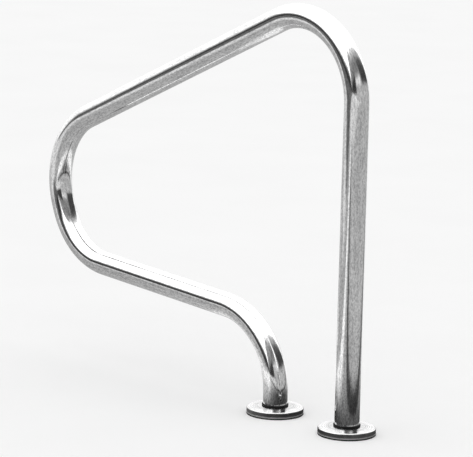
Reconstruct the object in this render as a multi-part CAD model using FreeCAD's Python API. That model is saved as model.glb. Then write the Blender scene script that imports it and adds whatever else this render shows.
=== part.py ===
import FreeCAD, Part

import math
import os

os.makedirs("parts", exist_ok=True)

# A deck-mounted pool grab rail in the figure-four shape: one bent stainless tube whose two ends
# stand 200 mm apart on bolted-down feet, each foot hidden under a round stamped cover.
# Millimetres. +Z is up and z = 0 is the deck. The rail lies in the plane y = 0 and hangs out
# towards -X, over the pool. The origin is on the deck, on the axis of the front (short) leg.

# ---- Rail tube -------------------------------------------------------------------------
TUBE_OD = 48.3  # 1.90 in rail tube
TUBE_WALL = 1.65  # 0.065 in wall
BEND_R = 152.4  # 6 in centreline radius, the same die for all four bends
FOOT_SPACING = 200.0  # leg axis to leg axis

# Where the straight lengths of the centreline would meet if the bends were sharp, as (x, z)
FRONT_KNEE = (0.0, 184.0)
POOL_END_LOW = (-620.0, 220.0)
POOL_END_HIGH = (-722.0, 455.0)
REAR_SHOULDER = (FOOT_SPACING, 870.0)

# ---- Foot: gasket, base plate, spigot ----------------------------------------------------
GASKET_OD = 112.0
GASKET_THICKNESS = 2.5
PLATE_OD = 104.0
PLATE_THICKNESS = 5.0
PLATE_EDGE_CHAMFER = 1.0
DRAIN_HOLE_D = 28.0  # lets water out of the tube and lets the inside weld be made
PLATE_BOTTOM = GASKET_THICKNESS
PLATE_TOP = PLATE_BOTTOM + PLATE_THICKNESS

DECK_BOLT_COUNT = 4
DECK_BOLT_PCD = 80.0
DECK_BOLT_HOLE_D = 9.0  # clears an M8 anchor bolt
DECK_BOLT_FIRST_ANGLE = 45.0

SPIGOT_OD = TUBE_OD - 2 * TUBE_WALL - 0.2  # slides into the tube with 0.1 mm all round
SPIGOT_BORE = 35.0
SPIGOT_HEIGHT = 30.0  # stays inside the straight part of the short leg
SPIGOT_LEAD_IN = 1.5
WELD_LEG = 3.0

# ---- Small screws under the cover --------------------------------------------------------
GRUB_D = 5.0  # M5 grub screws hold the tube on the spigot
GRUB_LENGTH = 6.0
GRUB_SOCKET_AF = 2.5
GRUB_SOCKET_DEPTH = 2.5
GRUB_HEIGHT = 11.5
GRUB_SINK = 0.15  # how far the outer end sits inside the tube surface
THREAD_CLEARANCE = 0.05
TUBE_SCREW_HOLE_D = 5.4

BOND_SCREW_D = 5.0  # M5 screw that clamps the earth-bonding wire
BOND_HEAD_AF = 8.0
BOND_HEAD_HEIGHT = 3.5
BOND_SHANK_LENGTH = 5.8
BOND_RADIUS = 40.0  # distance of the bonding screw from the leg axis
WASHER_OD = 10.0
WASHER_HOLE_D = 5.3
WASHER_THICKNESS = 1.0

# ---- Cover and seal ring: these two slide up the leg to reach the bolts ------------------
COVER_OD = 112.0
COVER_SHEET = 1.0
COVER_SHOULDER_R = 2.5
COVER_TOP_SLOPE = 4.5  # degrees, so water runs off
COVER_TOP = 16.5  # height of the outer surface at the hole
COVER_RIM_GAP = 0.2  # between the rim and the gasket
COVER_RIM_Z = GASKET_THICKNESS + COVER_RIM_GAP

SEAL_TUBE_GAP = 0.3
SEAL_WALL = 0.75  # rubber left between the bore and the groove
SEAL_GROOVE_GAP = 0.3  # groove floor to the edge of the cover hole
SEAL_FLANK_GAP = 0.2  # groove flanks to the faces of the cover
SEAL_BEAD_OD = 52.6  # the lip seen above the cover
SEAL_BEAD_HEIGHT = 3.4
SEAL_BEAD_ROUND = 1.0
SEAL_FLANGE_OD = 57.0  # the wider lip hidden below the cover
SEAL_FLANGE_HEIGHT = 2.0

SEAL_BORE_R = TUBE_OD / 2 + SEAL_TUBE_GAP
SEAL_GROOVE_R = SEAL_BORE_R + SEAL_WALL
COVER_HOLE_R = SEAL_GROOVE_R + SEAL_GROOVE_GAP

UP = FreeCAD.Vector(0, 0, 1)
ORIGIN = FreeCAD.Vector(0, 0, 0)


# ---- Shared shapes -----------------------------------------------------------------------
def point(x, z):
    """A point in the plane of the rail."""
    return FreeCAD.Vector(x, 0, z)


def rounded_wire(corners, closed):
    """Straight edges through (x, z, radius) corners, with an arc of that radius at each."""
    here = [point(x, z) for x, z, _ in corners]
    count = len(corners)
    starts, ends, arcs = [], [], []
    for i, (_, _, radius) in enumerate(corners):
        if radius == 0:
            starts.append(here[i])
            ends.append(here[i])
            arcs.append(None)
            continue
        towards_last = (here[i - 1] - here[i]).normalize()
        towards_next = (here[(i + 1) % count] - here[i]).normalize()
        half_angle = towards_last.getAngle(towards_next) / 2
        setback = radius / math.tan(half_angle)
        bisector = (towards_last + towards_next).normalize()
        reach = radius / math.sin(half_angle) - radius
        starts.append(here[i] + towards_last * setback)
        ends.append(here[i] + towards_next * setback)
        arcs.append(Part.Arc(starts[i], here[i] + bisector * reach, ends[i]).toShape())
    edges = []
    for i in range(count):
        if arcs[i]:
            edges.append(arcs[i])
        if i + 1 < count or closed:
            edges.append(Part.makeLine(ends[i], starts[(i + 1) % count]))
    return Part.Wire(edges)


def turned(corners):
    """A solid of revolution about Z from a closed (radius, z, corner radius) outline."""
    return Part.Face(rounded_wire(corners, True)).revolve(ORIGIN, UP, 360)


def disc(diameter, bottom, height):
    return Part.makeCylinder(diameter / 2, height, point(0, bottom))


def hexagon(across_flats, height):
    """A hexagonal prism standing on z = 0."""
    corner_r = across_flats / math.sqrt(3)
    angles = [math.radians(60 * i) for i in range(7)]
    outline = [FreeCAD.Vector(corner_r * math.cos(a), corner_r * math.sin(a), 0) for a in angles]
    return Part.Face(Part.makePolygon(outline)).extrude(UP * height)


def deck_bolt_holes(bottom, height):
    """The plugs that cut the deck bolt holes, evenly spaced round the leg."""
    plugs = []
    for i in range(DECK_BOLT_COUNT):
        angle = math.radians(DECK_BOLT_FIRST_ANGLE + 360 / DECK_BOLT_COUNT * i)
        plug = disc(DECK_BOLT_HOLE_D, bottom, height)
        across = FreeCAD.Vector(math.cos(angle), math.sin(angle), 0)
        plugs.append(plug.translated(across * (DECK_BOLT_PCD / 2)))
    return plugs


def crosswise(shape):
    """Two copies of a shape built along +Z: one pointing to +Y, one to -Y, at grub screw height."""
    turned_out = shape.rotated(ORIGIN, FreeCAD.Vector(1, 0, 0), -90)
    other_side = turned_out.rotated(ORIGIN, UP, 180)
    return [side.translated(UP * GRUB_HEIGHT) for side in (turned_out, other_side)]


# ---- Rail tube ---------------------------------------------------------------------------
def rail_tube():
    """One length of round tube bent four times in one plane, both ends cut square."""
    corners = [
        (0.0, PLATE_TOP, 0),
        (*FRONT_KNEE, BEND_R),
        (*POOL_END_LOW, BEND_R),
        (*POOL_END_HIGH, BEND_R),
        (*REAR_SHOULDER, BEND_R),
        (FOOT_SPACING, PLATE_TOP, 0),
    ]
    spine = rounded_wire(corners, False)
    outside = Part.Wire(Part.makeCircle(TUBE_OD / 2, point(0, PLATE_TOP), UP))
    inside = Part.Wire(Part.makeCircle(TUBE_OD / 2 - TUBE_WALL, point(0, PLATE_TOP), UP))
    tube = spine.makePipeShell([outside], True, False).cut(spine.makePipeShell([inside], True, False))
    for hole in crosswise(Part.makeCylinder(TUBE_SCREW_HOLE_D / 2, TUBE_OD)):
        tube = tube.cut(hole)
        tube = tube.cut(hole.translated(point(FOOT_SPACING, 0)))
    return tube


# ---- Foot, bottom up ---------------------------------------------------------------------
def deck_gasket():
    """Thin rubber sheet that beds the foot on the deck."""
    sheet = disc(GASKET_OD, 0, GASKET_THICKNESS)
    return sheet.cut([disc(DRAIN_HOLE_D, 0, GASKET_THICKNESS)] + deck_bolt_holes(0, GASKET_THICKNESS))


def base_plate():
    """Round steel plate with the deck bolt holes and the tapped hole for the bonding screw."""
    radius = PLATE_OD / 2
    bore = DRAIN_HOLE_D / 2
    plate = turned([
        (bore, PLATE_BOTTOM, 0),
        (radius, PLATE_BOTTOM, 0),
        (radius, PLATE_TOP - PLATE_EDGE_CHAMFER, 0),
        (radius - PLATE_EDGE_CHAMFER, PLATE_TOP, 0),
        (bore, PLATE_TOP, 0),
    ])
    bond_hole = disc(BOND_SCREW_D, PLATE_BOTTOM, PLATE_THICKNESS).translated(point(BOND_RADIUS, 0))
    return plate.cut(deck_bolt_holes(PLATE_BOTTOM, PLATE_THICKNESS) + [bond_hole])


def spigot():
    """Turned ring that stands on the plate and fills the end of the tube."""
    top = PLATE_TOP + SPIGOT_HEIGHT
    ring = turned([
        (SPIGOT_BORE / 2, PLATE_TOP, 0),
        (SPIGOT_OD / 2, PLATE_TOP, 0),
        (SPIGOT_OD / 2, top - SPIGOT_LEAD_IN, 0),
        (SPIGOT_OD / 2 - SPIGOT_LEAD_IN, top, 0),
        (SPIGOT_BORE / 2, top, 0),
    ])
    return ring.cut(crosswise(Part.makeCylinder(GRUB_D / 2, SPIGOT_OD)))


def spigot_weld():
    """Fillet weld in the corner between the spigot bore and the plate."""
    return turned([
        (SPIGOT_BORE / 2, PLATE_TOP, 0),
        (SPIGOT_BORE / 2, PLATE_TOP + WELD_LEG, 0),
        (SPIGOT_BORE / 2 - WELD_LEG, PLATE_TOP, 0),
    ])


def retaining_screws():
    """Two grub screws, one each side, through the tube wall into the tapped spigot."""
    outer_end = TUBE_OD / 2 - GRUB_SINK
    body = Part.makeCylinder(GRUB_D / 2 - THREAD_CLEARANCE, GRUB_LENGTH)
    socket = hexagon(GRUB_SOCKET_AF, GRUB_SOCKET_DEPTH).translated(UP * (GRUB_LENGTH - GRUB_SOCKET_DEPTH))
    screw = body.cut(socket).translated(UP * (outer_end - GRUB_LENGTH))
    return Part.makeCompound(crosswise(screw))


def bonding_washer():
    washer = disc(WASHER_OD, PLATE_TOP, WASHER_THICKNESS)
    return washer.cut(disc(WASHER_HOLE_D, PLATE_TOP, WASHER_THICKNESS)).translated(point(BOND_RADIUS, 0))


def bonding_screw():
    """Hexagon-head screw in the tapped hole of the plate."""
    under_head = PLATE_TOP + WASHER_THICKNESS
    head = hexagon(BOND_HEAD_AF, BOND_HEAD_HEIGHT).translated(UP * under_head)
    shank = disc(BOND_SCREW_D - 2 * THREAD_CLEARANCE, under_head - BOND_SHANK_LENGTH, BOND_SHANK_LENGTH)
    return head.fuse(shank).translated(point(BOND_RADIUS, 0))


# ---- Cover and its seal ring -------------------------------------------------------------
def cover_top_at(radius):
    """Height of the cover's outer surface at a distance from the leg axis."""
    return COVER_TOP - (radius - COVER_HOLE_R) * math.tan(math.radians(COVER_TOP_SLOPE))


def cover():
    """Stamped sheet cup: upright rim, rounded shoulder, gently falling top, hole for the tube."""
    outer_r = COVER_OD / 2
    inner_r = outer_r - COVER_SHEET
    drop = COVER_SHEET / math.cos(math.radians(COVER_TOP_SLOPE))
    return turned([
        (outer_r, COVER_RIM_Z, 0),
        (outer_r, cover_top_at(outer_r), COVER_SHOULDER_R),
        (COVER_HOLE_R, COVER_TOP, 0),
        (COVER_HOLE_R, COVER_TOP - drop, 0),
        (inner_r, cover_top_at(inner_r) - drop, COVER_SHOULDER_R - COVER_SHEET),
        (inner_r, COVER_RIM_Z, 0),
    ])


def seal_ring():
    """Rubber ring round the tube, with a groove that holds the edge of the cover hole."""
    groove_top = COVER_TOP + SEAL_FLANK_GAP
    groove_bottom = COVER_TOP - COVER_SHEET - 2 * SEAL_FLANK_GAP
    bead_r = SEAL_BEAD_OD / 2
    flange_r = SEAL_FLANGE_OD / 2
    return turned([
        (SEAL_BORE_R, groove_bottom - SEAL_FLANGE_HEIGHT, 0),
        (flange_r, groove_bottom - SEAL_FLANGE_HEIGHT, 0),
        (flange_r, groove_bottom, 0),
        (SEAL_GROOVE_R, groove_bottom, 0),
        (SEAL_GROOVE_R, groove_top, 0),
        (bead_r, groove_top, 0),
        (bead_r, groove_top + SEAL_BEAD_HEIGHT, SEAL_BEAD_ROUND),
        (SEAL_BORE_R, groove_top + SEAL_BEAD_HEIGHT, 0),
    ])


# ---- Write every node --------------------------------------------------------------------
FOOT_PARTS = {
    "deck_gasket": deck_gasket,
    "base_plate": base_plate,
    "spigot": spigot,
    "spigot_weld": spigot_weld,
    "retaining_screws": retaining_screws,
    "bonding_washer": bonding_washer,
    "bonding_screw": bonding_screw,
    "cover": cover,
    "seal_ring": seal_ring,
}
FEET = {"front": point(0, 0), "rear": point(FOOT_SPACING, 0)}

rail_tube().exportStep("parts/rail_tube.step")
for foot, place in FEET.items():
    for name, build in FOOT_PARTS.items():
        build().translated(place).exportStep(f"parts/{foot}_{name}.step")
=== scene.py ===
import math

import bmesh
import bpy
import numpy as np
from mathutils import Matrix, Vector
from mathutils.kdtree import KDTree


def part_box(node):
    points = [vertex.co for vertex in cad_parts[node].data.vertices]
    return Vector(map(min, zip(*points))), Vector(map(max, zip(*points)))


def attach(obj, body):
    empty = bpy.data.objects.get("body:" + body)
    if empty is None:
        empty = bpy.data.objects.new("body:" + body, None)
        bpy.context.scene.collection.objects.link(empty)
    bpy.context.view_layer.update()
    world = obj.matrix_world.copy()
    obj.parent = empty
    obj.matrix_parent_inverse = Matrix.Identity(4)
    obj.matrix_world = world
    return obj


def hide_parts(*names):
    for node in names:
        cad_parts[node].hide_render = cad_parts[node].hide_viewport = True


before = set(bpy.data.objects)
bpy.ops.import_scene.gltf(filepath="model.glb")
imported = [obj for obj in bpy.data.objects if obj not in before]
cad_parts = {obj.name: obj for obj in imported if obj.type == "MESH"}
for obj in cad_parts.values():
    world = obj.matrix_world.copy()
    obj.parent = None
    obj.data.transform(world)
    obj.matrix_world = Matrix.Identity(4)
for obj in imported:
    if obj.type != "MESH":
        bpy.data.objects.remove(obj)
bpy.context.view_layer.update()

# ---- Deck gaskets ----------------------------------------------------------------------
# A thin sheet of black rubber under each foot. It is punched from calendered sheet, so it has a
# dull skin with a faint cloth print, and it is squeezed between the base plate and the deck.

OBJECT_PLACE = 3  # the Texture Coordinate node's output for places on an object
NUMBER = 1  # the Vector Math node's output for an operation that gives a number


class Pattern:
    """One shader output of a material. Arithmetic on it adds Math nodes, so a pattern on a
    surface is written as a formula. add() makes every other kind of node."""

    def __init__(self, tree, socket=None):
        self.tree = tree
        self.socket = socket

    def add(self, kind, settings=None, sockets=None, output=0):
        """A node of this kind. Its settings come first, then the value or link of each socket."""
        node = self.tree.nodes.new(kind)
        for name, value in (settings or {}).items():
            if name == "stops":
                ramp = node.color_ramp
                while len(ramp.elements) < len(value):
                    ramp.elements.new(0.5)
                for stop, (place, level) in zip(ramp.elements, value):
                    stop.position = place
                    stop.color = (*level, 1) if isinstance(level, tuple) else (level, level, level, 1)
            else:
                setattr(node, name, value)
        for name, value in (sockets or {}).items():
            if isinstance(value, Pattern):
                self.tree.links.new(value.socket, node.inputs[name])
            else:
                node.inputs[name].default_value = value
        return Pattern(self.tree, node.outputs[output] if node.outputs else None)

    def maths(self, operation, *terms):
        return self.add("ShaderNodeMath", {"operation": operation}, dict(enumerate(terms)))

    def __add__(self, other):
        return self.maths("ADD", self, other)

    def __sub__(self, other):
        return self.maths("SUBTRACT", self, other)

    def __rsub__(self, other):
        return self.maths("SUBTRACT", other, self)

    def __mul__(self, other):
        return self.maths("MULTIPLY", self, other)

    __radd__ = __add__
    __rmul__ = __mul__

    def sine(self):
        return self.maths("SINE", self)

    def ramp(self, *stops):
        """The value looked up in a row of (place, grey or colour) stops."""
        return self.add("ShaderNodeValToRGB", {"stops": stops}, {"Fac": self})

    def noise(self, scale, detail=3, roughness=0.5):
        """Cloudy noise read at this position."""
        return self.add("ShaderNodeTexNoise", {}, {
            "Vector": self, "Scale": scale, "Detail": detail, "Roughness": roughness})

    def part(self, axis):
        """One coordinate of this position: 0, 1 or 2."""
        return self.add("ShaderNodeSeparateXYZ", {}, {0: self}, output=axis)

    def stretched(self, x=1, y=1, z=1, shift=(0, 0, 0)):
        """This position, moved by shift and then scaled along each axis."""
        moved = self.add("ShaderNodeVectorMath", {"operation": "ADD"}, {0: self, 1: shift})
        return moved.add("ShaderNodeVectorMath", {"operation": "MULTIPLY"}, {0: moved, 1: (x, y, z)})

    def bump(self, distance):
        """The value as a height, turned into a bumped normal."""
        return self.add("ShaderNodeBump", {}, {"Height": self, "Strength": 1.0, "Distance": distance})


def new_material(name):
    """An empty material: the material and the Pattern that builds its nodes."""
    material = bpy.data.materials.new(name)
    material.use_nodes = True
    material.node_tree.nodes.clear()
    return material, Pattern(material.node_tree)


def finish_material(start, **sockets):
    """Ends a material in one Principled shader with these sockets."""
    shader = start.add("ShaderNodeBsdfPrincipled", {}, sockets)
    start.add("ShaderNodeOutputMaterial", {}, {"Surface": shader})


def paint(node_name, material):
    """Gives a CAD node this material in place of its own."""
    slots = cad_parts[node_name].data.materials
    slots.clear()
    slots.append(material)


def sheet_rubber():
    """Cloth print: height = fine noise. Dust, a larger noise, makes the rubber paler and duller."""
    material, start = new_material("sheet_rubber")
    place = start.add("ShaderNodeTexCoord", output=OBJECT_PLACE)
    cloth_print = place.noise(2200, 2)
    dust = place.noise(45, 4)
    finish_material(start, **{
        "Base Color": dust.ramp((0.35, 0.005), (0.75, 0.018)),
        "Roughness": 0.62 + 0.25 * dust,
        "Specular IOR Level": 0.2,
        "Normal": cloth_print.bump(0.00006),
    })
    return material


sheet_rubber_finish = sheet_rubber()
paint("front_deck_gasket", sheet_rubber_finish)
paint("rear_deck_gasket", sheet_rubber_finish)

# ---- Base plates -----------------------------------------------------------------------
# A round plate of stainless steel at the bottom of each leg, faced on a lathe and drilled for
# four deck bolts. It is hidden by the cover and shows when the cover is lifted.

FOOT_X = {"front": 0.0, "rear": 0.2}
LATHE_GROOVE = 0.0007  # from one ring of the lathe to the next


def distance_from_leg(place, foot_x):
    """The distance from the axis of the leg that stands at foot_x."""
    flat = place.stretched(1, 1, 0, shift=(-foot_x, 0, 0))
    return flat.add("ShaderNodeVectorMath", {"operation": "LENGTH"}, {0: flat}, output=NUMBER)


def faced_steel(name, foot_x):
    """Lathe rings: height = sine of the distance from the leg axis, pushed about by cloudy noise."""
    material, start = new_material(name)
    place = start.add("ShaderNodeTexCoord", output=OBJECT_PLACE)
    cloud = place.noise(60, 4)
    rings = (distance_from_leg(place, foot_x) * (2 * math.pi / LATHE_GROOVE) + 3 * cloud).sine()
    stain = place.noise(28, 5, 0.6)
    finish_material(start, **{
        "Base Color": stain.ramp((0.3, (0.46, 0.45, 0.43)), (0.62, (0.62, 0.62, 0.61))),
        "Metallic": 1.0,
        "Roughness": 0.24 + 0.06 * rings + 0.2 * cloud,
        "Normal": rings.bump(0.00001),
    })
    return material


for foot, foot_x in FOOT_X.items():
    paint(f"{foot}_base_plate", faced_steel(f"faced_steel_{foot}", foot_x))

# ---- Spigots and their welds -----------------------------------------------------------
# A turned steel ring stands on each plate and fills the end of the tube. It is welded to the
# plate from inside, so the bead and its heat colours are in the bore, out of sight.

TOOL_MARK = 0.0005  # from one mark of the turning tool to the next
WELD_RIPPLES = 70  # ripples per radian round the bead


def turned_steel():
    """Tool marks: height = sine of the distance along the leg, as a lathe leaves them."""
    material, start = new_material("turned_steel")
    place = start.add("ShaderNodeTexCoord", output=OBJECT_PLACE)
    height = place.part(2)
    cloud = place.noise(90, 3)
    rings = (height * (2 * math.pi / TOOL_MARK) + 2 * cloud).sine()
    finish_material(start, **{
        "Base Color": cloud.ramp((0.3, 0.5), (0.7, 0.62)),
        "Metallic": 1.0,
        "Roughness": 0.26 + 0.12 * cloud,
        "Normal": rings.bump(0.000012),
    })
    return material


def weld_bead(name, foot_x):
    """Ripples: height = sine of the angle round the leg. Heat colours follow cloudy noise."""
    material, start = new_material(name)
    place = start.add("ShaderNodeTexCoord", output=OBJECT_PLACE)
    from_leg = place.stretched(1, 1, 1, shift=(-foot_x, 0, 0))
    angle = from_leg.maths("ARCTAN2", from_leg.part(1), from_leg.part(0))
    tint = place.noise(160, 3)
    ripples = (WELD_RIPPLES * angle + 2 * tint).sine()
    finish_material(start, **{
        "Base Color": tint.ramp(
            (0.3, (0.30, 0.26, 0.32)), (0.5, (0.52, 0.42, 0.26)), (0.7, (0.56, 0.54, 0.52))),
        "Metallic": 1.0,
        "Roughness": 0.34 + 0.2 * tint,
        "Normal": ripples.bump(0.00015),
    })
    return material


turned_steel_finish = turned_steel()
for foot, foot_x in FOOT_X.items():
    paint(f"{foot}_spigot", turned_steel_finish)
    paint(f"{foot}_spigot_weld", weld_bead(f"weld_bead_{foot}", foot_x))

# ---- Retaining screws, bonding screw and washer ------------------------------------------
# Small stainless fasteners under the cover: two grub screws hold the tube on its spigot, and a
# hexagon screw with a washer clamps the earth-bonding wire. They are cold-formed and barrelled.


def fastener_steel():
    """Barrelled steel: fine pits and soft darker clouds where salts have dried."""
    material, start = new_material("fastener_steel")
    place = start.add("ShaderNodeTexCoord", output=OBJECT_PLACE)
    pits = place.noise(1800, 2)
    cloud = place.noise(220, 4)
    finish_material(start, **{
        "Base Color": cloud.ramp((0.32, (0.42, 0.41, 0.4)), (0.6, (0.63, 0.63, 0.62))),
        "Metallic": 1.0,
        "Roughness": 0.22 + 0.25 * cloud,
        "Normal": pits.bump(0.00002),
    })
    return material


fastener_finish = fastener_steel()
for foot in FOOT_X:
    for piece in ("retaining_screws", "bonding_screw", "bonding_washer"):
        paint(f"{foot}_{piece}", fastener_finish)

# ---- Rail tube -------------------------------------------------------------------------
# One length of 1.9 inch stainless tube, drawn round the same bending die four times in one plane,
# then polished along its length until it mirrors the sky. Its ends stand on the base plates.

TUBE_R = 0.02415
TUBE_WALL = 0.00165
BEND_R = 0.1524
TUBE_END_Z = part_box("rail_tube")[0][2]
RAIL_CORNERS = np.array([  # (x, z) where the straight runs would meet if the bends were sharp
    (FOOT_X["front"], TUBE_END_Z),
    (FOOT_X["front"], 0.184),
    (-0.620, 0.220),
    (-0.722, 0.455),
    (FOOT_X["rear"], 0.870),
    (FOOT_X["rear"], TUBE_END_Z),
])
ROW_STEP = 0.005  # distance between two rings of points along the tube
ROUND_TUBE = 80  # points round the tube
BEND_FLATTENING = 0.02  # how much of its width a bend loses within the rail's plane
BEND_EASE = 0.03  # length over which the flattening comes in
SCREW_HOLE_R = 0.0027
SCREW_HOLE_Z = 0.0115
ROUND_HOLE = 32  # points round a screw hole
SHARP_EDGE = math.radians(35)  # an edge that turns by more than this stays sharp
ATTRIBUTE_VECTOR = 1  # the Attribute node's output for a vector


def surface(name, grid, wraps, marks=None):
    """A mesh from a grid of points (rows, columns, xyz). Each grid cell is one quad. Rows close on
    themselves if wraps[0] is true, columns if wraps[1] is. marks are extra per-point vectors."""
    rows, columns = grid.shape[:2]
    i, j = np.meshgrid(np.arange(rows - (not wraps[0])), np.arange(columns - (not wraps[1])), indexing="ij")
    i_next, j_next = (i + 1) % rows, (j + 1) % columns
    quads = np.stack([i * columns + j, i_next * columns + j, i_next * columns + j_next,
                      i * columns + j_next], axis=-1).reshape(-1, 4)
    mesh = bpy.data.meshes.new(name)
    mesh.from_pydata(grid.reshape(-1, 3), [], quads)
    for mark, values in (marks or {}).items():
        layer = mesh.attributes.new(mark, "FLOAT_VECTOR", "POINT")
        layer.data.foreach_set("vector", values.astype(np.float32).ravel())
    mesh.shade_smooth()
    mesh.set_sharp_from_angle(angle=SHARP_EDGE)
    piece = bpy.data.objects.new(name, mesh)
    bpy.context.scene.collection.objects.link(piece)
    return piece


def rail_centreline():
    """Points, headings and bend amounts along the rail, at equal steps of each run. A bend amount
    is 0 on a straight run and eases up to 1 inside each end of a bend.

    The heading is constant along a straight and turns evenly round a bend. Each step goes along
    the mean heading of its two ends by the length of the chord, which is exact for both."""
    legs = np.diff(RAIL_CORNERS, axis=0)
    headings = np.unwrap(np.arctan2(legs[:, 1], legs[:, 0]))
    turns = np.diff(headings)
    setbacks = np.concatenate([[0], BEND_R * np.tan(np.abs(turns) / 2), [0]])
    straights = np.hypot(*legs.T) - setbacks[:-1] - setbacks[1:]
    runs = np.empty(len(straights) + len(turns))
    runs[0::2], runs[1::2] = straights, BEND_R * np.abs(turns)
    joins = np.concatenate([[0], np.cumsum(runs)])
    stations = np.concatenate([
        np.linspace(a, b, max(2, int(np.ceil((b - a) / ROW_STEP))), endpoint=False)
        for a, b in zip(joins[:-1], joins[1:])] + [joins[-1:]])
    heading = np.interp(stations, joins, np.repeat(headings, 2))
    step, turn = np.diff(stations), np.diff(heading)
    chord = step * np.sinc(turn / (2 * np.pi))
    mean = (heading[:-1] + heading[1:]) / 2
    start = RAIL_CORNERS[0]
    x = start[0] + np.concatenate([[0], np.cumsum(chord * np.cos(mean))])
    z = start[1] + np.concatenate([[0], np.cumsum(chord * np.sin(mean))])
    entered = np.clip((stations[:, None] - joins[1:-1:2]) / BEND_EASE, 0, 1)
    not_left = np.clip((joins[2:-1:2] - stations[:, None]) / BEND_EASE, 0, 1)
    bend = (entered * not_left).sum(axis=1)
    return stations, x, z, heading, bend * bend * (3 - 2 * bend)


def rail_skin(radius, stations, x, z, heading, bend):
    """Rings of points round the centreline: offset = radius times the cosine of the angle within
    the rail's plane, and times its sine square to that plane. A bend is a little flatter within
    the plane. Also the same points on a straight tube: its cross-section, and the length along."""
    angle = np.linspace(0, 2 * np.pi, ROUND_TUBE, endpoint=False)
    across = radius * (1 - BEND_FLATTENING * bend)[:, None] * np.cos(angle)
    aside = radius * (1 + BEND_FLATTENING / 3 * bend)[:, None] * np.sin(angle)
    grid = np.stack([
        x[:, None] - np.sin(heading)[:, None] * across,
        aside,
        z[:, None] + np.cos(heading)[:, None] * across,
    ], axis=-1)
    straight = np.stack([
        np.broadcast_to(radius * np.cos(angle), across.shape),
        np.broadcast_to(radius * np.sin(angle), across.shape),
        np.broadcast_to(stations[:, None], across.shape),
    ], axis=-1)
    return grid, straight


def build_rail():
    """Outer skin, then the bore back again with a third of the rings, closed into one wall of tube
    by its two end faces."""
    line = rail_centreline()
    outer, outer_straight = rail_skin(TUBE_R, *line)
    last = len(line[0]) - 1
    back_again = np.append(np.arange(last, 0, -3), 0)
    inner, inner_straight = rail_skin(TUBE_R - TUBE_WALL, *(values[back_again] for values in line))
    return surface("rail_tube_skin", np.concatenate([outer, inner]), (True, True),
                   {"straight": np.concatenate([outer_straight, inner_straight])})


def copy_mark(source, target, mark):
    """Fills target's per-point vectors, which drilling empties, from the nearest point of source."""
    tree = KDTree(len(source.vertices))
    for number, vertex in enumerate(source.vertices):
        tree.insert(vertex.co, number)
    tree.balance()
    values = source.attributes[mark].data
    for vertex, spot in zip(target.vertices, target.attributes[mark].data):
        spot.vector = values[tree.find(vertex.co)[1]].vector


def drill_screw_holes(rail):
    """Cuts the grub screws' holes through both walls of each leg, square to the rail's plane."""
    shape = bmesh.new()
    for foot_x in FOOT_X.values():
        along_y = Matrix.Translation((foot_x, 0, SCREW_HOLE_Z)) @ Matrix.Rotation(math.pi / 2, 4, "X")
        bmesh.ops.create_cone(
            shape, cap_ends=True, segments=ROUND_HOLE, radius1=SCREW_HOLE_R, radius2=SCREW_HOLE_R,
            depth=3 * TUBE_R, matrix=along_y)
    drill_mesh = bpy.data.meshes.new("drill")
    shape.to_mesh(drill_mesh)
    shape.free()
    drill = bpy.data.objects.new("drill", drill_mesh)
    bpy.context.scene.collection.objects.link(drill)
    cut = rail.modifiers.new("drill", "BOOLEAN")
    cut.object = drill
    view = bpy.context.evaluated_depsgraph_get()
    drilled = bpy.data.meshes.new_from_object(rail.evaluated_get(view))
    copy_mark(rail.data, drilled, "straight")
    drilled.set_sharp_from_angle(angle=SHARP_EDGE)
    rail.modifiers.clear()
    rail.data = drilled
    bpy.data.objects.remove(drill)


def polished_rail():
    """Polish follows the tube as if it were straight: fine scratches are noise drawn out along
    the length, smears are the same at a larger scale, water spots are faint and round."""
    material, start = new_material("polished_rail_steel")
    place = start.add("ShaderNodeAttribute", {"attribute_name": "straight"}, output=ATTRIBUTE_VECTOR)
    scratches = place.stretched(1, 1, 0.02).noise(1500, 3, 0.6)
    smears = place.stretched(1, 1, 0.1).noise(260, 4, 0.65)
    spots = place.stretched(1, 1, 0.4).noise(430, 2, 0.7)
    finish_material(start, **{
        "Base Color": (0.35 * smears + 0.65 * spots).ramp(
            (0.40, (0.53, 0.53, 0.535)), (0.5, (0.75, 0.75, 0.75)), (0.60, (0.93, 0.93, 0.93))),
        "Metallic": 1.0,
        "Roughness": 0.04 + 0.05 * smears + 0.03 * scratches,
        "Normal": (scratches + 0.6 * smears).bump(0.000006),
    })
    return material


rail = build_rail()
drill_screw_holes(rail)
rail.data.materials.append(polished_rail())
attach(rail, "rail")
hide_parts("rail_tube")

# ---- Covers ----------------------------------------------------------------------------
# A round cup stamped from 1 mm stainless sheet hides each foot. It is polished on a spinning
# wheel, which leaves faint rings, and its hole is gripped by the rubber seal ring.

COVER_R = 0.056
COVER_SHEET = 0.001
COVER_SHOULDER = 0.0025
COVER_RIM_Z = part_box("front_cover")[0][2]
COVER_TOP_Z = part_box("front_cover")[1][2]
COVER_HOLE_R = 0.0255
COVER_SLOPE = math.radians(4.5)
ROUND_COVER = 160  # points round a cover or a ring
RIM_POINTS = 3
SHOULDER_POINTS = 11
TOP_POINTS = 9
DULL_RIM_AND_PAINTED_LIGHT_LINE = (0.0015, 0.0035)  # height above the rim over which its matt finish and painted light line fade
SMOOTH_EDGE_AND_PAINTED_HIGHLIGHT = (0.043, 0.047)  # distance from the leg axis over which the smoother edge and its painted highlight begin


def turned_surface(name, foot_x, outline):
    """A closed outline of (radius, height) points carried once round the leg axis: place = axis +
    radius times (cosine of the angle, sine of the angle), at that height."""
    angle = np.linspace(0, 2 * np.pi, ROUND_COVER, endpoint=False)
    radius, height = outline.T
    grid = np.stack([
        foot_x + radius[:, None] * np.cos(angle),
        radius[:, None] * np.sin(angle),
        np.broadcast_to(height[:, None], (len(radius), ROUND_COVER)),
    ], axis=-1)
    return surface(name, grid[::-1], (True, True))


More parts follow.
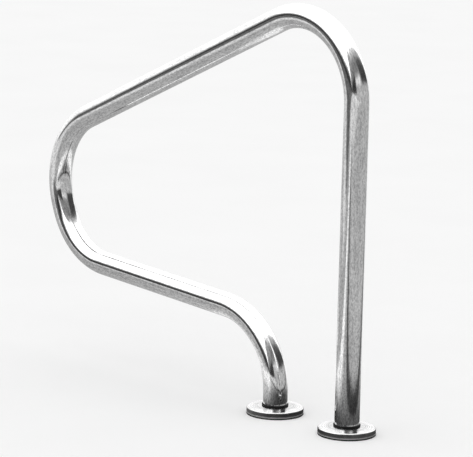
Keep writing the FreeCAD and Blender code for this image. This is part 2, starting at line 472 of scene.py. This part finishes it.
def cover_side(inset):
    """One face of the sheet from rim to hole, inset from the outer face: straight up the rim, an
    arc round the shoulder, and up a straight line that slopes gently to the hole."""
    shoulder = COVER_SHOULDER - inset
    centre_r = COVER_R - COVER_SHOULDER
    end_r = centre_r + COVER_SHOULDER * math.sin(COVER_SLOPE)
    end_z = COVER_TOP_Z - (end_r - COVER_HOLE_R) * math.tan(COVER_SLOPE)
    centre_z = end_z - COVER_SHOULDER * math.cos(COVER_SLOPE)
    rim_z = np.linspace(COVER_RIM_Z, centre_z, RIM_POINTS, endpoint=False)
    rim = np.stack([np.full(RIM_POINTS, centre_r + shoulder), rim_z], axis=-1)
    tilt = np.linspace(math.pi / 2, COVER_SLOPE, SHOULDER_POINTS)
    corner = np.stack([centre_r + shoulder * np.sin(tilt), centre_z + shoulder * np.cos(tilt)], axis=-1)
    radius = np.linspace(corner[-1, 0], COVER_HOLE_R, TOP_POINTS + 1)[1:]
    top = np.stack([radius, corner[-1, 1] + (corner[-1, 0] - radius) * math.tan(COVER_SLOPE)], axis=-1)
    return np.concatenate([rim, corner, top])


def smooth(value, low, high):
    """0 below low, 1 above high, with an eased rise between."""
    return value.add("ShaderNodeMapRange", {"interpolation_type": "SMOOTHSTEP"}, {
        "Value": value, "From Min": low, "From Max": high})


def spun_steel(name, foot_x):
    """Polishing rings: noise read by distance from the leg axis, so it is the same all round. The
    rim's lower edge is duller and has a painted light line, and the outer edge of the top is smoother and
    has a painted highlight."""
    material, start = new_material(name)
    place = start.add("ShaderNodeTexCoord", output=OBJECT_PLACE)
    from_axis = distance_from_leg(place, foot_x)
    height = place.part(2)
    ring_place = start.add("ShaderNodeCombineXYZ", {}, {0: from_axis, 1: height})
    rings = ring_place.noise(620, 3, 0.6)
    broad = ring_place.noise(130, 2)
    spots = place.noise(80, 5, 0.6)
    # Painted light line: the rim's lower edge gets a paler colour, and it is also made duller.
    dull_rim_and_painted_light_line = 1 - smooth(height, COVER_RIM_Z + DULL_RIM_AND_PAINTED_LIGHT_LINE[0], COVER_RIM_Z + DULL_RIM_AND_PAINTED_LIGHT_LINE[1])
    # Painted highlight: the outer edge of the top gets a brighter colour, and it is also made smoother.
    smooth_edge_and_painted_highlight = smooth(from_axis, *SMOOTH_EDGE_AND_PAINTED_HIGHLIGHT)
    shade = 0.4 * broad + 0.25 * spots + 0.35 * rings + 0.07 * smooth_edge_and_painted_highlight + 0.15 * dull_rim_and_painted_light_line
    finish_material(start, **{
        "Base Color": shade.ramp(
            (0.40, (0.30, 0.30, 0.305)), (0.5, (0.50, 0.50, 0.50)), (0.60, (0.70, 0.70, 0.70)),
            (0.75, (0.9, 0.9, 0.9))),
        "Metallic": 1.0,
        "Roughness": 0.14 + 0.08 * rings + 0.04 * spots - 0.08 * smooth_edge_and_painted_highlight + 0.4 * dull_rim_and_painted_light_line,
        "Normal": (rings + broad).bump(0.000008),
    })
    return material


for foot, foot_x in FOOT_X.items():
    outline = np.concatenate([cover_side(0), cover_side(COVER_SHEET)[::-1]])
    sheet = turned_surface(f"{foot}_cover_skin", foot_x, outline)
    sheet.data.materials.append(spun_steel(f"spun_steel_{foot}", foot_x))
    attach(sheet, f"{foot}_cover")
    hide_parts(f"{foot}_cover")

# ---- Seal rings ------------------------------------------------------------------------
# A moulded black rubber ring fills the gap between cover and tube. A groove holds the cover's
# edge; the small rounded lip above it is the part that shows.

SEAL_BORE_R = 0.02445
SEAL_GROOVE_R = 0.0252
SEAL_LIP_R = 0.0263
SEAL_FLANGE_R = 0.0285
SEAL_FLANGE_HEIGHT = 0.002
SEAL_BOTTOM_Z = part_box("front_seal_ring")[0][2]
SEAL_TOP_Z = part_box("front_seal_ring")[1][2]
SEAL_LIP_ROUND = 0.0011
SEAL_FLANGE_CHAMFER = 0.0004
SEAL_BORE_CHAMFER = 0.0003
SEAL_FLANK_GAP = 0.0002  # between the cover and the groove's upper flank
LIP_POINTS = 7


def seal_outline():
    """Up the outside of the ring: wide lower flange, groove, rounded upper lip, then down the bore."""
    flange_top = SEAL_BOTTOM_Z + SEAL_FLANGE_HEIGHT
    groove_top = COVER_TOP_Z + SEAL_FLANK_GAP
    body = np.array([
        (SEAL_BORE_R, SEAL_BOTTOM_Z),
        (SEAL_FLANGE_R - SEAL_FLANGE_CHAMFER, SEAL_BOTTOM_Z),
        (SEAL_FLANGE_R, SEAL_BOTTOM_Z + SEAL_FLANGE_CHAMFER),
        (SEAL_FLANGE_R, flange_top),
        (SEAL_GROOVE_R, flange_top),
        (SEAL_GROOVE_R, groove_top),
        (SEAL_LIP_R, groove_top),
    ])
    tilt = np.linspace(math.pi / 2, 0, LIP_POINTS)
    lip_r = SEAL_LIP_R - SEAL_LIP_ROUND * (1 - np.sin(tilt))
    lip_z = SEAL_TOP_Z - SEAL_LIP_ROUND * (1 - np.cos(tilt))
    bore = np.array([
        (SEAL_BORE_R + SEAL_BORE_CHAMFER, SEAL_TOP_Z),
        (SEAL_BORE_R, SEAL_TOP_Z - SEAL_BORE_CHAMFER),
    ])
    return np.concatenate([body, np.stack([lip_r, lip_z], axis=-1), bore])


def moulded_rubber():
    """Satin rubber: fine grain from the mould, and a grey bloom where it has dried out."""
    material, start = new_material("moulded_rubber")
    place = start.add("ShaderNodeTexCoord", output=OBJECT_PLACE)
    grain = place.noise(2600, 2)
    bloom = place.noise(120, 4)
    finish_material(start, **{
        "Base Color": bloom.ramp((0.35, 0.004), (0.75, 0.011)),
        "Roughness": 0.5 + 0.25 * bloom,
        "Specular IOR Level": 0.2,
        "Normal": grain.bump(0.00003),
    })
    return material


moulded_rubber_finish = moulded_rubber()
for foot, foot_x in FOOT_X.items():
    ring = turned_surface(f"{foot}_seal_skin", foot_x, seal_outline())
    ring.data.materials.append(moulded_rubber_finish)
    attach(ring, f"{foot}_seal")
    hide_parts(f"{foot}_seal_ring")

# ---- Studio ----------------------------------------------------------------------------
# A pale floor in soft light from all round. The polished steel mirrors a white ceiling, a long
# wall beyond the tall leg, a dark strip low on the other side, and grey boards on the ground.

ROOM_TURN = math.radians(8)  # the room's walls stand this far round from the rail's plane
FLOOR_HALF = 30  # the floor goes this far each way
BOARDS_REACH = 4  # the boards' row of stops goes from this far on one side to this far on the other
BANDS_REACH = 5  # and the bands' row goes from the rail's plane to this far along the wall
WALL_TOP = 2  # height over distance at the last of the wall's stops
WALL_GRAZE = 0.02  # keeps the divisions by the distance to the wall finite
DIRECTION = 0  # the Texture Coordinate node's output for directions in the sky
GLOSSY_RAY = 3  # the Light Path node's output that is 1 for what a mirror sees


def across_room(place):
    """A position or direction split along the room: towards the wall, along the wall, and up."""
    turned = place.add("ShaderNodeVectorRotate", {"rotation_type": "Z_AXIS"}, {
        "Vector": place, "Angle": -ROOM_TURN})
    return [turned.part(axis) for axis in range(3)]


def mix(amount, first, second):
    """The first level where amount is 0, the second where it is 1."""
    return first + (second - first) * amount


def level_square(name):
    """A square on the ground, centred on the front leg."""
    half = FLOOR_HALF
    corners = [(-half, -half, 0), (half, -half, 0), (half, half, 0), (-half, half, 0)]
    mesh = bpy.data.meshes.new(name)
    mesh.from_pydata(corners, [], [(0, 1, 2, 3)])
    square = bpy.data.objects.new(name, mesh)
    bpy.context.scene.collection.objects.link(square)
    return square


def build_floor():
    """The floor that shows: nearly white, with clouds too faint to see as such."""
    floor = level_square("floor")
    material, start = new_material("pale_floor")
    place = start.add("ShaderNodeTexCoord", output=OBJECT_PLACE)
    finish_material(start, **{
        "Base Color": place.noise(3, 3).ramp((0.3, 0.93), (0.7, 0.945)),
        "Roughness": 0.9,
        "Specular IOR Level": 0.0,
    })
    floor.data.materials.append(material)
    floor.visible_glossy = False


def build_mirrored_ground():
    """The ground that only mirrors see. Its level is looked up across the room in boards, and past
    the pool end along the room in bands. It is shaded near each foot and has cloudy grain."""
    card = level_square("mirrored_ground")
    material, start = new_material("mirrored_ground")
    place = start.add("ShaderNodeTexCoord", output=OBJECT_PLACE)
    towards, along, _ = across_room(place)
    boards = towards.maths("MULTIPLY_ADD", towards, 0.5 / BOARDS_REACH, 0.5).ramp(
        (0.0, 0.85), (0.10, 0.62), (0.25, 0.54), (0.40, 0.46), (0.45, 0.55), (0.46, 1.1), (0.4875, 1.25),
        (0.505, 0.66), (0.515, 0.52), (0.5425, 0.46), (0.55, 0.10), (0.5675, 0.09), (0.5825, 0.46),
        (0.65, 0.56), (0.75, 0.50))
    reach = along * (-1 / BANDS_REACH)
    boards = mix(smooth(reach, 0.6, 0.85), boards, 0.8)
    bands = reach.ramp(
        (0.0, 0.45), (0.1, 0.50), (0.16, 0.66), (0.22, 0.84), (0.36, 0.86), (0.45, 0.30), (0.52, 0.17),
        (0.70, 0.15), (1.0, 0.16))
    ground = mix(smooth(reach, 0.1, 0.2) * (1 - smooth(towards, -1.7, -0.8)), boards, bands)
    far_side = smooth(along, 0.6, 3.0) * (1 - smooth(towards, -0.5, 0.8))
    level = mix(far_side, ground, 0.9)
    foot_shades = {
        "front": ((0.10, 0.35), (0.15, 0.6), (0.30, 1.0)),
        "rear": ((0.10, 0.20), (0.16, 0.27), (0.55, 1.0)),
    }
    for foot, stops in foot_shades.items():
        gap = place.add("ShaderNodeVectorMath", {"operation": "DISTANCE"}, {
            0: place, 1: (FOOT_X[foot], 0, 0)}, output=NUMBER)
        level = level * gap.ramp(*stops)
    grain = place.noise(22, 6, 0.72)
    speckle = start.add("ShaderNodeMapRange", {}, {
        "Value": grain, "From Min": 0.3, "From Max": 0.7, "To Min": 0.72, "To Max": 1.28})
    glow = start.add("ShaderNodeEmission", {}, {"Color": level * speckle, "Strength": 1.0})
    start.add("ShaderNodeOutputMaterial", {}, {"Surface": glow})
    card.data.materials.append(material)
    card.visible_camera = card.visible_diffuse = card.visible_shadow = False


def build_sky():
    """What steel mirrors above the ground, by direction. On the wall's side, a corner, a window and
    a doorway stand next to each other, and each one's stops go by height over distance. On the
    other side, the dark strip's stops and the haze's go by height alone. Everything that isn't a
    reflection is lit by an even white."""
    world = bpy.data.worlds.new("studio")
    bpy.context.scene.world = world
    world.use_nodes = True
    world.node_tree.nodes.clear()
    start = Pattern(world.node_tree)
    towards, along, up = across_room(start.add("ShaderNodeTexCoord", output=DIRECTION))
    distance = towards.maths("MAXIMUM", towards, WALL_GRAZE)
    height = up.maths("DIVIDE", up, distance) * (1 / WALL_TOP)
    corner = height.ramp(
        (0.0, 1.0), (0.04, 0.7), (0.08, 0.04), (0.28, 0.05), (0.34, 0.22), (0.50, 0.34), (0.70, 0.38),
        (0.90, 0.60), (1.0, 2.0))
    window = height.ramp(
        (0.02, 0.57), (0.12, 0.55), (0.175, 0.85), (0.215, 0.85), (0.26, 0.42), (0.32, 0.27), (0.42, 0.22),
        (0.50, 0.32), (0.56, 0.46), (0.65, 0.70), (0.75, 0.95), (0.85, 2.0))
    doorway = height.ramp(
        (0.02, 0.50), (0.08, 0.58), (0.13, 0.40), (0.17, 0.10), (0.22, 0.06), (0.32, 0.07), (0.43, 0.13),
        (0.50, 0.30), (0.56, 0.48), (0.66, 0.72), (0.74, 1.05), (0.82, 2.0))
    sideways = along.maths("DIVIDE", along, distance)
    wall = mix(smooth(sideways, -1.25, -0.85), corner, mix(smooth(sideways, -0.1, 0.3), window, doorway))
    strip = up.ramp(
        (0.0, 0.16), (0.03, 0.05), (0.10, 0.04), (0.17, 0.10), (0.22, 0.40), (0.28, 1.0), (0.32, 2.0))
    on_strip_side = 1 - smooth(along, -0.45, -0.05)
    haze = up.ramp((0.0, 1.25), (0.35, 1.4), (0.55, 2.0))
    low_side = mix(on_strip_side, haze, strip)
    radiance = mix(smooth(towards, 0.0, 0.12), low_side, wall)
    glossy = start.add("ShaderNodeLightPath", output=GLOSSY_RAY)
    mirrored = start.add("ShaderNodeBackground", {}, {"Color": radiance, "Strength": 1.0})
    plain = start.add("ShaderNodeBackground", {}, {"Color": (1, 1, 1, 1), "Strength": 1.0})
    shown = start.add("ShaderNodeMixShader", {}, {0: glossy, 1: plain, 2: mirrored})
    start.add("ShaderNodeOutputWorld", {}, {"Surface": shown})


CAMERA_AZIMUTH = math.radians(47.289)
CAMERA_ELEVATION = math.radians(10.547)
CAMERA_ROLL = math.radians(-1.333)
CAMERA_DISTANCE = 5.5541
AIM = Vector((-0.1236, 0, 0.3499))
LENS_MM = 214.33
SENSOR_MM = 36


def build_camera():
    """Stands back from the aim point along the azimuth and elevation, and leans by the roll."""
    back = Vector((math.sin(CAMERA_AZIMUTH) * math.cos(CAMERA_ELEVATION),
                   -math.cos(CAMERA_AZIMUTH) * math.cos(CAMERA_ELEVATION),
                   math.sin(CAMERA_ELEVATION)))
    level_right = Vector((0, 0, 1)).cross(back).normalized()
    level_up = back.cross(level_right)
    right = math.cos(CAMERA_ROLL) * level_right - math.sin(CAMERA_ROLL) * level_up
    up = math.cos(CAMERA_ROLL) * level_up + math.sin(CAMERA_ROLL) * level_right
    turn = Matrix((right, up, back)).transposed().to_4x4()
    data = bpy.data.cameras.new("camera")
    data.lens = LENS_MM
    data.sensor_width = SENSOR_MM
    data.clip_start = 0.05
    data.clip_end = 200
    camera = bpy.data.objects.new("camera", data)
    camera.matrix_world = Matrix.Translation(AIM + back * CAMERA_DISTANCE) @ turn
    bpy.context.scene.collection.objects.link(camera)
    bpy.context.scene.camera = camera


build_floor()
build_mirrored_ground()
build_sky()
build_camera()
bpy.context.scene.view_settings.view_transform = "Standard"
